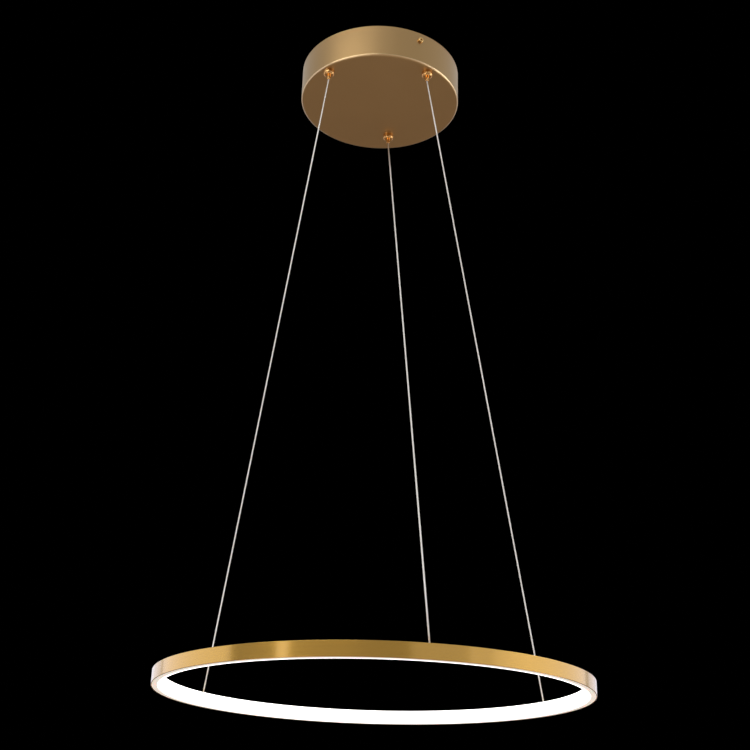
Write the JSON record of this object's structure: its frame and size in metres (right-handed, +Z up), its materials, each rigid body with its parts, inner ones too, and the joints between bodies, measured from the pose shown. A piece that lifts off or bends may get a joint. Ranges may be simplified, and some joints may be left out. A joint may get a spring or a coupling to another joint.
{
  "type": "ring pendant light",
  "caption": "Thin lit ring hung level on slanting wires from a round ceiling canopy, with push-to-release grippers that set its height.",
  "frame": {"origin": "on the ceiling, on the canopy's axis, midway between the two ceiling screws", "axes": "+Z up, out of the ceiling bar's upper face; +X to the right and +Y away from the viewer of the picture"},
  "size_m": [0.6, 0.6, 1.026],
  "materials": {
    "satin_gold": "satin gold lacquer on drawn steel",
    "zinc_steel": "bright zinc plating",
    "gold_screw": "polished",
    "white_case": "fine matt texture",
    "circuit_board": "solder mask",
    "tape_yellow": "tape over a wound core",
    "capacitor_sleeve": "shrunk sleeve",
    "terminal_plastic": "moulded",
    "polished_copper_gold": "polished and plated",
    "hard_steel": "bright",
    "wire_jacket": "thin milky jacket over a steel strand",
    "brushed_brass": "brushed lengthwise and anodised in a brass tone",
    "milky_diffuser": "opal, lit from inside",
    "strip_white": "white solder mask",
    "led_phosphor": "phosphor gel",
    "plain_aluminium": "mill finish"
  },
  "bodies": {
    "canopy": {"canopy_shell": "satin_gold", "ceiling_bar": "zinc_steel", "side_screws": "gold_screw", "driver_case": "white_case", "driver_lid": "white_case", "driver_board": "circuit_board", "driver_transformer": "tape_yellow", "driver_capacitor": "capacitor_sleeve", "driver_screws": "zinc_steel", "terminal_block": "terminal_plastic", "terminal_screws": "zinc_steel", "terminal_fixings": "zinc_steel", "earth_washer": "gold_screw", "earth_screw": "gold_screw", "gripper_washers": "zinc_steel", "gripper_nuts": "zinc_steel", "gripper_body_left": "polished_copper_gold", "gripper_spring_left": "hard_steel", "gripper_plug_left": "polished_copper_gold", "wire_tail_left": "wire_jacket", "suspension_wire_left": "wire_jacket", "gripper_body_right": "polished_copper_gold", "gripper_spring_right": "hard_steel", "gripper_plug_right": "polished_copper_gold", "wire_tail_right": "wire_jacket", "suspension_wire_right": "wire_jacket", "gripper_body_middle": "polished_copper_gold", "gripper_spring_middle": "hard_steel", "gripper_plug_middle": "polished_copper_gold", "wire_tail_middle": "wire_jacket", "suspension_wire_middle": "wire_jacket"},
    "ring": {"ring_channel_front": "brushed_brass", "ring_channel_back": "brushed_brass", "diffuser": "milky_diffuser", "led_strip": "strip_white", "led_packages": "led_phosphor", "splice_bar_left": "plain_aluminium", "splice_bar_right": "plain_aluminium", "splice_screws": "gold_screw", "eyelets": "polished_copper_gold", "wire_stops": "hard_steel"},
    "plunger_left": {"release_plunger_left": "polished_copper_gold", "gripper_balls_left": "hard_steel"},
    "plunger_right": {"release_plunger_right": "polished_copper_gold", "gripper_balls_right": "hard_steel"},
    "plunger_middle": {"release_plunger_middle": "polished_copper_gold", "gripper_balls_middle": "hard_steel"}
  },
  "joints": [
    {"name": "ring_lift", "type": "slide", "parent": "canopy", "child": "ring", "axis": [0, 0, 1], "range_m": [0, 0.4], "deforming": ["suspension_wire_left", "suspension_wire_right", "suspension_wire_middle"]},
    {"name": "gripper_release_left", "type": "slide", "parent": "canopy", "child": "plunger_left", "axis": [0, 0, 1], "range_m": [0, 0.002], "stiffness_N_per_m": 500, "springref_m": -0.003, "deforming": ["gripper_spring_left"]},
    {"name": "gripper_release_right", "type": "slide", "parent": "canopy", "child": "plunger_right", "axis": [0, 0, 1], "range_m": [0, 0.002], "stiffness_N_per_m": 500, "springref_m": -0.003, "deforming": ["gripper_spring_right"]},
    {"name": "gripper_release_middle", "type": "slide", "parent": "canopy", "child": "plunger_middle", "axis": [0, 0, 1], "range_m": [0, 0.002], "stiffness_N_per_m": 500, "springref_m": -0.003, "deforming": ["gripper_spring_middle"]}
  ]
}
